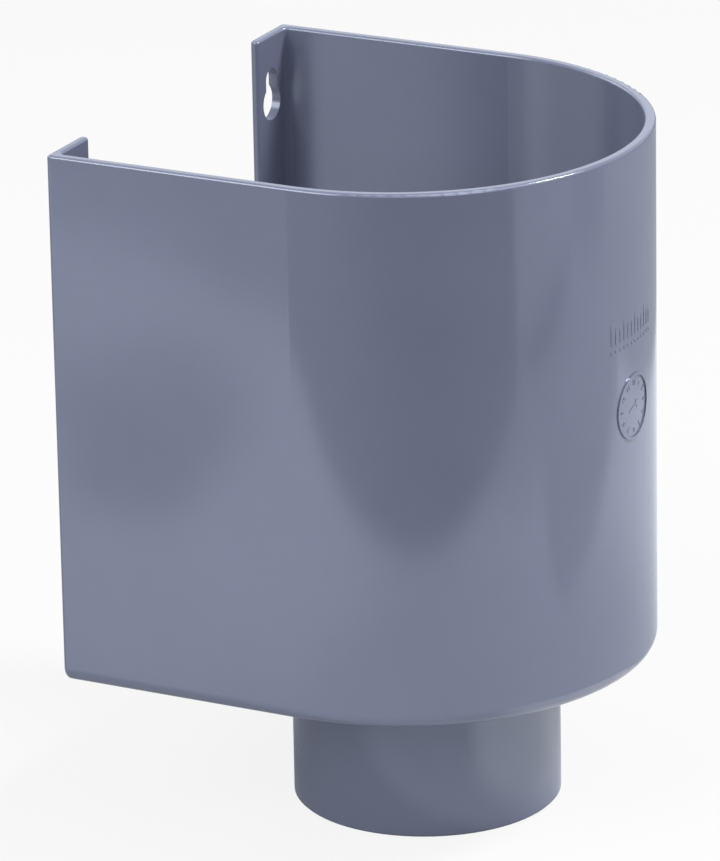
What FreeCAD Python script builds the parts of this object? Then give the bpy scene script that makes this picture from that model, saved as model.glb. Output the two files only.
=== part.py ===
import FreeCAD, Part
import os

# Rainwater hopper for a house wall, one piece of moulded PVC.
# Seen from above it is a U: a half-round front, two flat sides and an open back,
# with a narrow flange turned inwards at the back end of each side.
# A flat floor carries a round outlet spigot that a downpipe slides onto.
# Lengths are in millimetres. The origin is on the spigot's axis at the floor's underside,
# where a pipe's socket stops. +Z points up, +Y points to the wall, the round front faces -Y.

# Outlet spigot, made for 80 mm downpipe
outlet_diameter = 80.0
outlet_length = 46.5
outlet_wall = 3.2
outlet_end_bevel = 0.6
outlet_mouth_bevel = 1.5
outlet_to_wall = 82.5

# Body
body_width = 147.0
body_depth = 151.0
body_height = 162.0
body_wall = 3.3
floor_thickness = 3.3
floor_edge_round = 4.5
floor_inside_round = 1.5
back_edge_round = 1.4
rim_round = 0.9

# Back flanges, which lie against the wall
flange_reach = 21.0
flange_thickness = 2.8
flange_end_round = 1.2
flange_root_round = 2.0

# Keyhole in each flange: a screw head goes through the round hole,
# then the hopper drops until the screw's shank sits in the slot above it
keyhole_head_diameter = 11.0
keyhole_slot_width = 7.0
keyhole_rise = 7.3
keyhole_below_rim = 21.2
keyhole_to_flange_end = 8.2

# Raised ring of the mould's date dial, on the middle of the front
dial_diameter = 20.0
dial_line_width = 0.8
dial_relief = 0.4
dial_above_floor = 84.0

# A round on both edges of a wall takes at most this share of the wall each, and a round that
# runs over a rounded corner at most this share of the corner's radius
wall_share = 0.45
corner_share = 0.8

# How far a cutting shape runs past the face that it cuts, and how close two places count as one
overrun = 5.0
tolerance = 0.001

outlet_radius = outlet_diameter / 2
bore_radius = outlet_radius - outlet_wall
front_radius = body_width / 2
inside_radius = front_radius - body_wall
wall_y = outlet_to_wall
front_centre_y = wall_y - body_depth + front_radius
spigot_end_z = -outlet_length
floor_top_z = floor_thickness
rim_z = body_height
mouth_half_width = front_radius - flange_reach
flange_front_y = wall_y - flange_thickness
flange_end_radius = min(flange_end_round, wall_share * flange_thickness)
rim_radius = min(rim_round, wall_share * body_wall, corner_share * flange_end_radius)


def at(x, y, z):
    return FreeCAD.Vector(x, y, z)


def near(a, b):
    return abs(a - b) < tolerance


def edges_where(shape, test):
    """The shape's edges whose middle point satisfies the test."""
    found = []
    for edge in shape.Edges:
        middle = edge.valueAt((edge.FirstParameter + edge.LastParameter) / 2)
        if test(middle):
            found.append(edge)
    return found


def line(start, end):
    return Part.LineSegment(start, end).toShape()


def quarter(start, centre, end):
    """A quarter circle about a centre that is level with its two ends."""
    middle = (start + end - centre * 2).normalize()
    return Part.Arc(start, centre + middle * (start - centre).Length, end).toShape()


def mirrored(shape):
    return shape.mirror(at(0, 0, 0), at(1, 0, 0))


def u_shape(radius, bottom_z, bottom_round, top_z, back_y):
    """A solid that is a U seen from above. Its bottom edge is rounded at the front and the sides."""
    y = front_centre_y
    bottom_middle = at(0, y, bottom_z)
    bottom_end = at(radius - bottom_round, y, bottom_z)
    round_centre = at(radius - bottom_round, y, bottom_z + bottom_round)
    side_start = at(radius, y, bottom_z + bottom_round)
    side_end = at(radius, y, top_z)
    top_middle = at(0, y, top_z)
    section = Part.Face(Part.Wire([
        line(bottom_middle, bottom_end),
        quarter(bottom_end, round_centre, side_start),
        line(side_start, side_end),
        line(side_end, top_middle),
        line(top_middle, bottom_middle),
    ]))
    front = section.revolve(bottom_middle, at(0, 0, -1), 180)
    right = section.extrude(at(0, back_y - y, 0))
    return front.fuse([right, mirrored(right)]).removeSplitter()


def outer_block():
    """The body as a solid block, with its floor edge and its back edges rounded."""
    block = u_shape(front_radius, 0, floor_edge_round, rim_z, wall_y)
    back_edges = edges_where(block, lambda p: near(p.y, wall_y) and not near(p.z, rim_z))
    return block.makeFillet(back_edge_round, back_edges)


def flanges():
    """The two back flanges, each rooted in its side wall and in the floor."""
    z = floor_thickness / 2
    in_wall_x = inside_radius + body_wall / 4
    root_x = inside_radius - flange_root_round
    root_y = flange_front_y - flange_root_round
    end_x = mouth_half_width + flange_end_radius
    front_end_y = flange_front_y + flange_end_radius
    back_end_y = wall_y - flange_end_radius
    wall_back = at(in_wall_x, wall_y, z)
    back_end = at(end_x, wall_y, z)
    tip_back = at(mouth_half_width, back_end_y, z)
    tip_front = at(mouth_half_width, front_end_y, z)
    front_end = at(end_x, flange_front_y, z)
    root_start = at(root_x, flange_front_y, z)
    root_end = at(inside_radius, root_y, z)
    wall_front = at(in_wall_x, root_y, z)
    outline = Part.Wire([
        line(wall_back, back_end),
        quarter(back_end, at(end_x, back_end_y, z), tip_back),
        line(tip_back, tip_front),
        quarter(tip_front, at(end_x, front_end_y, z), front_end),
        line(front_end, root_start),
        quarter(root_start, at(root_x, root_y, z), root_end),
        line(root_end, wall_front),
        line(wall_front, wall_back),
    ])
    right = Part.Face(outline).extrude(at(0, 0, rim_z - z))
    return [mirrored(right), right]


def keyhole(side):
    """Cutting shape of the keyhole in the flange on one side, -1 left or 1 right."""
    x = side * (mouth_half_width + keyhole_to_flange_end)
    y = flange_front_y - overrun
    z = rim_z - keyhole_below_rim
    length = flange_thickness + 2 * overrun
    slot_radius = keyhole_slot_width / 2
    head = Part.makeCylinder(keyhole_head_diameter / 2, length, at(x, y, z), at(0, 1, 0))
    seat = Part.makeCylinder(slot_radius, length, at(x, y, z + keyhole_rise), at(0, 1, 0))
    slot = Part.makeBox(keyhole_slot_width, length, keyhole_rise, at(x - slot_radius, y, z))
    return head.fuse([seat, slot])


def dial_ring():
    """A thin raised ring that follows the curve of the front."""
    start = at(0, front_centre_y - front_radius - overrun, dial_above_floor)
    outer_radius = dial_diameter / 2
    outer = Part.makeCylinder(outer_radius, 2 * overrun, start, at(0, 1, 0))
    inner = Part.makeCylinder(outer_radius - dial_line_width, 2 * overrun, start, at(0, 1, 0))
    base = at(0, front_centre_y, 0)
    skin = Part.makeCylinder(front_radius + dial_relief, body_height, base)
    core = Part.makeCylinder(front_radius - body_wall / 2, body_height, base)
    return outer.cut(inner).common(skin.cut(core))


def on_bore(p):
    return near(p.x ** 2 + p.y ** 2, bore_radius ** 2)


def hopper():
    space = u_shape(inside_radius, floor_top_z, floor_inside_round, rim_z + overrun, wall_y + overrun)
    body = outer_block().cut(space).fuse(flanges()).removeSplitter()
    body = body.makeFillet(rim_radius, edges_where(body, lambda p: near(p.z, rim_z)))

    tube = Part.makeCylinder(outlet_radius, outlet_length + floor_thickness / 2, at(0, 0, spigot_end_z))
    body = body.fuse([tube, dial_ring()])
    bore_length = outlet_length + floor_thickness + 2 * overrun
    bore = Part.makeCylinder(bore_radius, bore_length, at(0, 0, spigot_end_z - overrun))
    body = body.cut([bore, keyhole(-1), keyhole(1)]).removeSplitter()

    body = body.makeChamfer(outlet_end_bevel, edges_where(body, lambda p: near(p.z, spigot_end_z)))
    bore_top = edges_where(body, lambda p: near(p.z, floor_top_z) and on_bore(p))
    return body.makeChamfer(outlet_mouth_bevel, bore_top)


hopper_body = hopper().Solids[0]
print("valid", hopper_body.isValid(), "volume in cubic centimetres", round(hopper_body.Volume / 1000, 2))

os.makedirs("parts", exist_ok=True)
hopper_body.exportStep("parts/hopper_body.step")
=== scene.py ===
import math

import bmesh
import bpy
from mathutils import Matrix, Vector


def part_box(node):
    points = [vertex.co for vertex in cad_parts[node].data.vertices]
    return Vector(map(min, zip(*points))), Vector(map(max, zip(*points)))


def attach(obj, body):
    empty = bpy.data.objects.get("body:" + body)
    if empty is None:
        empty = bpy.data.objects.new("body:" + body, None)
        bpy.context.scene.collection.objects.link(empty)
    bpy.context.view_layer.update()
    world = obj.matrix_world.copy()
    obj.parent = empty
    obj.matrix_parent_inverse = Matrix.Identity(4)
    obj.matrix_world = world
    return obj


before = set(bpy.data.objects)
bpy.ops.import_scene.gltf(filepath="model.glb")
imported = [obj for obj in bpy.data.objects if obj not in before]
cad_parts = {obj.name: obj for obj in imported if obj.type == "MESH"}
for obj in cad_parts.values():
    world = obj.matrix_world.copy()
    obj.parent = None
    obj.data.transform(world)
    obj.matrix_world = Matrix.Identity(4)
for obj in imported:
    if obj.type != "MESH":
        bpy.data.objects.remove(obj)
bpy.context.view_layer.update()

# Hopper body: one injection-moulded shell of blue-grey rigid PVC with its floor, flanges and
# spigot. The mould leaves it glossy outside and a little duller inside, with fine draw lines up
# the walls, a faint clouding from the melt's flow and walls that are a hair off flat.
MM = 0.001
FRONT_CENTRE_Y = 5.0 * MM
INSIDE_RADIUS = 70.2 * MM
FLOOR_TOP_Z = 3.3 * MM
INNER_FINISH_GONE = 0.9 * MM
INNER_FINISH_FULL_IN_WALL = 0.4 * MM
INNER_FINISH_FULL_IN_FLOOR = 0.3 * MM
WARP_HEIGHT = 0.4 * MM
DRAW_LINE_HEIGHT = 0.005 * MM
GRAIN_HEIGHT = 0.001 * MM
DEEP_GREY = (0.122, 0.136, 0.200, 1.0)
PALE_GREY = (0.142, 0.156, 0.226, 1.0)


class Wire:
    """One output in a material's node tree. A sum of wires and numbers becomes Math nodes."""

    def __init__(self, tree, output=None):
        self.tree = tree
        self.output = output

    def node(self, kind, settings=None, inputs=None, output=0):
        """Adds a node with its settings, then the values or wires of its sockets."""
        made = self.tree.nodes.new("ShaderNode" + kind)
        for name, value in (settings or {}).items():
            setattr(made, name, value)
        for name, value in (inputs or {}).items():
            if isinstance(value, Wire):
                self.tree.links.new(value.output, made.inputs[name])
            else:
                made.inputs[name].default_value = value
        return Wire(self.tree, made.outputs[output] if made.outputs else None)

    def math(self, operation, first, second):
        return self.node("Math", {"operation": operation}, {0: first, 1: second})

    def __add__(self, other):
        return self.math("ADD", self, other)

    def __sub__(self, other):
        return self.math("SUBTRACT", self, other)

    def __rsub__(self, other):
        return self.math("SUBTRACT", other, self)

    def __mul__(self, other):
        return self.math("MULTIPLY", self, other)

    __radd__ = __add__
    __rmul__ = __mul__


def new_material(name):
    """An empty node material and the start of its tree."""
    material = bpy.data.materials.new(name)
    material.use_nodes = True
    material.node_tree.nodes.clear()
    return material, Wire(material.node_tree)


def noise(tree, place, scale, detail, roughness=0.5):
    settings = {"noise_dimensions": "3D", "normalize": True}
    inputs = {"Vector": place, "Scale": scale, "Detail": detail, "Roughness": roughness}
    return tree.node("TexNoise", settings, inputs)


def mix_colours(tree, share, first, second):
    """The first colour where share is 0, the second where it is 1."""
    return tree.node("Mix", {"data_type": "RGBA"}, {0: share, 6: first, 7: second}, output=2)


def ramp(tree, value, start, end):
    """0 up to the start value, 1 from the end value on, smooth between them."""
    settings = {"interpolation_type": "SMOOTHSTEP"}
    return tree.node("MapRange", settings, {"Value": value, "From Min": start, "From Max": end})


def inner_face(tree, place):
    """1 on the faces that look into the hopper, 0 elsewhere. It fades within the wall and floor."""
    across, depth, height = [
        tree.node("SeparateXYZ", inputs={"Vector": place}, output=axis) for axis in "XYZ"
    ]
    in_front = tree.math("MINIMUM", depth - FRONT_CENTRE_Y, 0.0)
    spoke = tree.node("CombineXYZ", inputs={"X": across, "Y": in_front})
    radius = tree.node("VectorMath", {"operation": "LENGTH"}, {0: spoke}, output="Value")
    wall_start = INSIDE_RADIUS + INNER_FINISH_GONE
    wall_end = INSIDE_RADIUS + INNER_FINISH_FULL_IN_WALL
    floor_start = FLOOR_TOP_Z - INNER_FINISH_GONE
    floor_end = FLOOR_TOP_Z - INNER_FINISH_FULL_IN_FLOOR
    return ramp(tree, radius, wall_start, wall_end) * ramp(tree, height, floor_start, floor_end)


def moulded_pvc():
    """Glossy blue-grey PVC as it leaves a polished mould."""
    material, tree = new_material("moulded_pvc")
    place = tree.node("TexCoord", output="Object")
    stretched = tree.node("Mapping", inputs={"Vector": place, "Scale": (1.0, 1.0, 0.03)})
    clouds = noise(tree, place, scale=28.0, detail=4.0, roughness=0.6)
    draw_lines = noise(tree, stretched, scale=700.0, detail=3.0)
    warp = noise(tree, place, scale=11.0, detail=1.0)
    grain = noise(tree, place, scale=1500.0, detail=2.0)
    height = warp * WARP_HEIGHT + draw_lines * DRAW_LINE_HEIGHT + grain * GRAIN_HEIGHT
    normal = tree.node("Bump", inputs={"Height": height, "Strength": 1.0, "Distance": 1.0})
    shader = tree.node("BsdfPrincipled", inputs={
        "Base Color": mix_colours(tree, clouds, DEEP_GREY, PALE_GREY),
        "Roughness": 0.07 + 0.05 * clouds + 0.04 * draw_lines + 0.12 * inner_face(tree, place),
        "Normal": normal,
        "IOR": 1.58,
        "Specular IOR Level": 0.9,
        "Specular Tint": (0.82, 0.88, 1.0, 1.0),
    })
    tree.node("OutputMaterial", inputs={"Surface": shader})
    return material


pvc = moulded_pvc()
hopper_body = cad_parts["hopper_body"]
for body_slot in hopper_body.material_slots:
    body_slot.material = pvc

# Mould marks: the date dial's numbers and pointer inside the ring on the front, and a plain row of
# ticks over a row of dots above it. They stand 0.15 mm proud of the wall and were cut into the
# mould, so they follow the curve.
low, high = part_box("hopper_body")
FRONT_RADIUS = (high.x - low.x) / 2
MARK_RELIEF = 0.15 * MM
MARK_BEVEL = 0.06 * MM
MARK_ROOT = 0.2 * MM
DIAL_CENTRE_Z = 84.0 * MM
NUMBER_SIZE = 2.1 * MM
NUMBER_CIRCLE = 7.2 * MM
POINTER_TURN = math.radians(-70)
POINTER_OUTLINE_MM = [
    (-0.35, -3.2), (0.35, -3.2), (0.35, 1.4), (1.3, 1.4), (0.0, 3.6), (-1.3, 1.4), (-0.35, 1.4),
]
TICK_ROW_Z = 106.0 * MM
TICK_COUNT = 12
TICK_PITCH = 2.3 * MM
LONG_TICK = 6.5 * MM
SHORT_TICK = 4.5 * MM
TICK_WIDTH = 0.9 * MM
DOT_DIAMETER = 1.1 * MM
DOT_DROP = 2.2 * MM
DOT_SIDES = 16


def flat_marks(outlines):
    """A mesh plate with bevelled edges from closed outlines, lists of (across, up) points."""
    curve = bpy.data.curves.new("marks", "CURVE")
    curve.dimensions = "2D"
    curve.fill_mode = "BOTH"
    for points in outlines:
        spline = curve.splines.new("POLY")
        spline.points.add(len(points) - 1)
        for point, (across, up) in zip(spline.points, points):
            point.co = (across, up, 0.0, 1.0)
        spline.use_cyclic_u = True
    return plate(curve)


def plate(curve):
    """A mesh of the flat curve as thick as the mark and its root, with a small bevel."""
    curve.extrude = (MARK_RELIEF + MARK_ROOT) / 2 - MARK_BEVEL
    curve.bevel_depth = MARK_BEVEL
    curve.bevel_resolution = 1
    return bpy.data.meshes.new_from_object(bpy.data.objects.new("plate", curve))


def number(value):
    font = bpy.data.curves.new("number", "FONT")
    font.body = str(value)
    font.size = NUMBER_SIZE
    font.align_x = "CENTER"
    font.align_y = "CENTER"
    font.resolution_u = 4
    return plate(font)


def tick(length, across, up):
    """The outline of an upright bar about a middle point."""
    left, right = across - TICK_WIDTH / 2, across + TICK_WIDTH / 2
    bottom, top = up - length / 2, up + length / 2
    return [(left, bottom), (right, bottom), (right, top), (left, top)]


def dot(across, up):
    """The outline of a round dot about a middle point."""
    radius = DOT_DIAMETER / 2
    turns = [math.tau * i / DOT_SIDES for i in range(DOT_SIDES)]
    return [(across + radius * math.cos(turn), up + radius * math.sin(turn)) for turn in turns]


def raised_on_front(name, parts, centre_z):
    """One piece from flat meshes and their places, bent round the front's curve."""
    joined = bmesh.new()
    for mesh, place in parts:
        mesh.transform(place)
        joined.from_mesh(mesh)
    for vertex in joined.verts:
        across, up, out = vertex.co
        angle = across / FRONT_RADIUS
        radius = FRONT_RADIUS + out + (MARK_RELIEF - MARK_ROOT) / 2
        vertex.co = (radius * math.sin(angle), FRONT_CENTRE_Y - radius * math.cos(angle), centre_z + up)
    mesh = bpy.data.meshes.new(name)
    joined.to_mesh(mesh)
    joined.free()
    mesh.materials.append(pvc)
    piece = bpy.data.objects.new(name, mesh)
    bpy.context.scene.collection.objects.link(piece)
    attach(piece, "root")


def date_dial():
    parts = []
    for hour in range(1, 13):
        turn = Matrix.Rotation(-math.tau * hour / 12, 4, "Z")
        parts.append((number(hour), turn @ Matrix.Translation((0, NUMBER_CIRCLE, 0))))
    pointer = flat_marks([[(across * MM, up * MM) for across, up in POINTER_OUTLINE_MM]])
    parts.append((pointer, Matrix.Rotation(POINTER_TURN, 4, "Z")))
    raised_on_front("date_dial_marks", parts, DIAL_CENTRE_Z)


def tick_row():
    """Plain upright ticks, every third one longer, with a dot under each."""
    outlines = []
    for i in range(TICK_COUNT):
        across = (i - (TICK_COUNT - 1) / 2) * TICK_PITCH
        length = LONG_TICK if i % 3 == 0 else SHORT_TICK
        outlines.append(tick(length, across, up=length / 2))
        outlines.append(dot(across, up=-DOT_DROP))
    raised_on_front("tick_row", [(flat_marks(outlines), Matrix())], TICK_ROW_Z)


date_dial()
tick_row()

# Table: a pale top that the hopper stands on with its spigot, which keeps the soft shadow. The
# glossy walls mirror it in painted tones: painted reflections of soft dark patches near the hopper
# and of a dark studio beyond a straight edge, painted shade round the hopper and spigot, painted light.
FLOOR_REACH = 30.0
TABLE_EDGE_DISTANCE = 0.338
TABLE_EDGE_AZIMUTH = math.radians(28.6)
DARK_SECTOR_START = math.radians(-25.5)
DARK_SECTOR_END = math.radians(74.6)
SHARP = 0.02
CAMERA_WHITE = 0.85
PLAIN_GREY = (0.62, 0.62, 0.62, 1.0)
# Colours that only mirrored rays see: a painted dark reflection, the table, painted shade and painted
# light.
PAINTED_DARK_REFLECTION = (0.04, 0.045, 0.05, 1.0)
TABLE_LIT = (0.74, 0.77, 0.83, 1.0)
TABLE_PAINTED_SHADE = (0.35, 0.365, 0.39, 1.0)
PAINTED_LIGHT_COLOUR = (0.97, 0.98, 1.0, 1.0)


def towards(azimuth):
    """A direction on the table, from the left side (0) round to the front (90 degrees)."""
    return (-math.cos(azimuth), -math.sin(azimuth), 0.0)


def beyond(tree, place, azimuth, distance, softness):
    """0 on this side of a straight line across the table, 1 beyond it."""
    settings = {"operation": "DOT_PRODUCT"}
    along = tree.node("VectorMath", settings, {0: place, 1: towards(azimuth)}, output="Value")
    return ramp(tree, along, distance - softness / 2, distance + softness / 2)


def blot(tree, place, centre, turn, length, width, softness):
    """1 inside an oval on the table, turned by some degrees, 0 outside it."""
    oval = tree.node("Mapping", {"vector_type": "TEXTURE"}, {
        "Vector": place,
        "Location": (centre[0], centre[1], 0.0),
        "Rotation": (0.0, 0.0, math.radians(turn)),
        "Scale": (length / 2, width / 2, 1.0),
    })
    flat = tree.node("VectorMath", {"operation": "MULTIPLY"}, {0: oval, 1: (1.0, 1.0, 0.0)})
    size = tree.node("VectorMath", {"operation": "LENGTH"}, {0: flat}, output="Value")
    return ramp(tree, size, 1.0 + softness / 2, 1.0 - softness / 2)


def greatest(tree, *masks):
    """The highest of some masks at each place."""
    result = masks[0]
    for mask in masks[1:]:
        result = tree.math("MAXIMUM", result, mask)
    return result


def dark_tones(tree, place):
    """1 where the walls mirror a painted dark studio beyond the table's edge, less on painted dark
    patches.
    """
    edge = beyond(tree, place, TABLE_EDGE_AZIMUTH, TABLE_EDGE_DISTANCE, SHARP)
    sector_end = beyond(tree, place, DARK_SECTOR_END - math.pi / 2, -0.006, SHARP)
    sector_start = beyond(tree, place, DARK_SECTOR_START + math.pi / 2, 0.027, SHARP)
    front_half = beyond(tree, place, math.pi / 2, 0.06, softness=0.5)
    # Painted dark reflection beyond the table's edge, standing in for a dark studio.
    studio = edge * sector_end * (0.6 + 0.2 * sector_start + 0.2 * front_half)
    # Painted dark reflections: soft dark ovals that the glossy walls mirror.
    side = blot(tree, place, (-0.395, 0.230), turn=-27, length=0.17, width=0.06, softness=0.6)
    front = blot(tree, place, (0.0, -0.543), turn=-19, length=0.30, width=0.05, softness=0.9)
    back = blot(tree, place, (-0.392, 0.325), turn=0, length=0.14, width=0.11, softness=0.5)
    corner = blot(tree, place, (0.285, -0.605), turn=27, length=0.26, width=0.13, softness=0.8)
    painted_dark_patches = side * 0.55 + back * 0.4 + corner * 0.5 + front * 0.9
    return greatest(tree, studio, painted_dark_patches)


def near_tones(tree, place):
    """The mirrored colour of the table: painted shade further out, round the hopper and the spigot, and
    painted light beside it.
    """
    past_sector = DARK_SECTOR_END + math.pi / 2
    # Painted shade: the mirrored table dims further out, behind the hopper, round it and by the spigot.
    front_right = beyond(tree, place, DARK_SECTOR_END, 0.245, softness=0.05)
    front_right = front_right * beyond(tree, place, past_sector, 0.06, softness=0.06)
    front = beyond(tree, place, DARK_SECTOR_END, 0.36, softness=0.16)
    right = beyond(tree, place, past_sector, 0.41, softness=0.06)
    behind = beyond(tree, place, math.radians(-140), 0.0, softness=0.12)
    behind = behind * beyond(tree, place, math.radians(-90), 0.15, softness=0.10)
    painted_shadow_around = blot(tree, place, (-0.05, -0.10), turn=0, length=0.50, width=0.48, softness=0.5)
    painted_spigot_shadow = blot(tree, place, (-0.075, 0.0), turn=-60, length=0.17, width=0.12, softness=0.7)
    painted_shade = greatest(tree, front_right, front, painted_shadow_around * 0.5, right, behind, painted_spigot_shadow * 0.6)
    # Painted light: a brighter patch on the mirrored table in front of the spigot.
    painted_spigot_light = blot(tree, place, (0.01, -0.10), turn=30, length=0.16, width=0.10, softness=0.6)
    near = mix_colours(tree, painted_shade, TABLE_LIT, TABLE_PAINTED_SHADE)
    return mix_colours(tree, painted_spigot_light, near, PAINTED_LIGHT_COLOUR)


def pale_table():
    """Plain grey to all light but mirrored rays, which see painted reflections, shade and light, and
    mostly white to the camera.
    """
    material, tree = new_material("pale_table")
    place = tree.node("TexCoord", output="Object")
    # Mirrored rays see the painted dark reflections, painted shade and painted light on the table.
    mirrored = mix_colours(tree, dark_tones(tree, place), near_tones(tree, place), PAINTED_DARK_REFLECTION)
    glossy = tree.node("LightPath", output="Is Glossy Ray")
    diffuse = tree.node("BsdfPrincipled", inputs={
        "Base Color": mix_colours(tree, glossy, PLAIN_GREY, mirrored),
        "Roughness": 0.8,
        "Specular IOR Level": 0.1,
    })
    white = tree.node("Emission", inputs={"Color": (1.0, 1.0, 1.0, 1.0), "Strength": 1.0})
    camera = tree.node("LightPath", output="Is Camera Ray")
    shader = tree.node("MixShader", inputs={0: camera * CAMERA_WHITE, 1: diffuse, 2: white})
    tree.node("OutputMaterial", inputs={"Surface": shader})
    return material


def plain_floor():
    mesh = bpy.data.meshes.new("floor")
    corners = [(-FLOOR_REACH, -FLOOR_REACH), (FLOOR_REACH, -FLOOR_REACH),
               (FLOOR_REACH, FLOOR_REACH), (-FLOOR_REACH, FLOOR_REACH)]
    mesh.from_pydata([(x, y, low.z) for x, y in corners], [], [(0, 1, 2, 3)])
    mesh.materials.append(pale_table())
    floor = bpy.data.objects.new("floor", mesh)
    bpy.context.scene.collection.objects.link(floor)


plain_floor()

# Light: a pale studio all round, a small soft lamp high at the front right, which draws the bright
# line on the rim, wide soft lamps at the front and the left, and fainter ones behind.
WORLD_STRENGTH = 0.25
WORLD_WHITE = (1.0, 1.0, 1.0, 1.0)
MIRRORED_SKY = (0.84, 0.90, 1.0, 1.0)


def studio_world():
    """White to the camera and pale blue in the gloss. It lights the hopper at a lower strength."""
    world = bpy.data.worlds.new("studio")
    bpy.context.scene.world = world
    world.use_nodes = True
    world.node_tree.nodes.clear()
    tree = Wire(world.node_tree)
    camera = tree.node("LightPath", output="Is Camera Ray")
    glossy = tree.node("LightPath", output="Is Glossy Ray")
    seen = greatest(tree, camera, glossy)
    strength = WORLD_STRENGTH + seen * (1.0 - WORLD_STRENGTH)
    colour = mix_colours(tree, glossy, WORLD_WHITE, MIRRORED_SKY)
    shader = tree.node("Background", inputs={"Color": colour, "Strength": strength})
    tree.node("OutputWorld", inputs={"Surface": shader})


def soft_lamp(name, place, aim, width, height, power):
    """A rectangular lamp that points at the aim and isn't seen itself."""
    lamp = bpy.data.lights.new(name, "AREA")
    lamp.shape = "RECTANGLE"
    lamp.size = width
    lamp.size_y = height
    lamp.energy = power
    holder = bpy.data.objects.new(name, lamp)
    holder.location = place
    holder.rotation_euler = (Vector(aim) - Vector(place)).to_track_quat("-Z", "Y").to_euler()
    holder.visible_camera = False
    bpy.context.scene.collection.objects.link(holder)


studio_world()
middle = (low + high) / 2
soft_lamp("key_lamp", (0.455, -0.857, 1.197), middle, width=0.35, height=0.35, power=18.2)
soft_lamp("left_lamp", (-1.10, 0.40, 0.85), middle, width=0.9, height=0.9, power=13.2)
soft_lamp("front_lamp", (0.0, -1.10, 1.15), middle, width=1.6, height=0.9, power=10.4)
soft_lamp("right_lamp", (1.30, 0.70, 0.60), middle, width=1.2, height=0.4, power=0.6)
soft_lamp("back_lamp", (0.30, 1.40, 0.90), middle, width=1.0, height=0.7, power=6.0)

# Camera: a long lens from the front left and a little above, as the photograph was taken.
IMAGE_HEIGHT = 861
SENSOR_WIDTH = 36.0
FOCAL_LENGTH_PX = 6843.6
AZIMUTH = math.radians(-62.893)
ELEVATION = math.radians(19.627)
ROLL = math.radians(-1.047)
DISTANCE = 2.0211
AIM = Vector((-0.0033, 0.0190, 0.0648))


def photo_camera():
    camera = bpy.data.cameras.new("camera")
    camera.sensor_width = SENSOR_WIDTH
    camera.lens = FOCAL_LENGTH_PX * SENSOR_WIDTH / IMAGE_HEIGHT
    holder = bpy.data.objects.new("camera", camera)
    bpy.context.scene.collection.objects.link(holder)
    back = Vector((
        math.sin(AZIMUTH) * math.cos(ELEVATION),
        -math.cos(AZIMUTH) * math.cos(ELEVATION),
        math.sin(ELEVATION),
    ))
    holder.location = AIM + back * DISTANCE
    turn = (-back).to_track_quat("-Z", "Y").to_matrix() @ Matrix.Rotation(ROLL, 3, "Z")
    holder.rotation_euler = turn.to_euler()
    bpy.context.scene.camera = holder


photo_camera()
bpy.context.scene.view_settings.view_transform = "Standard"
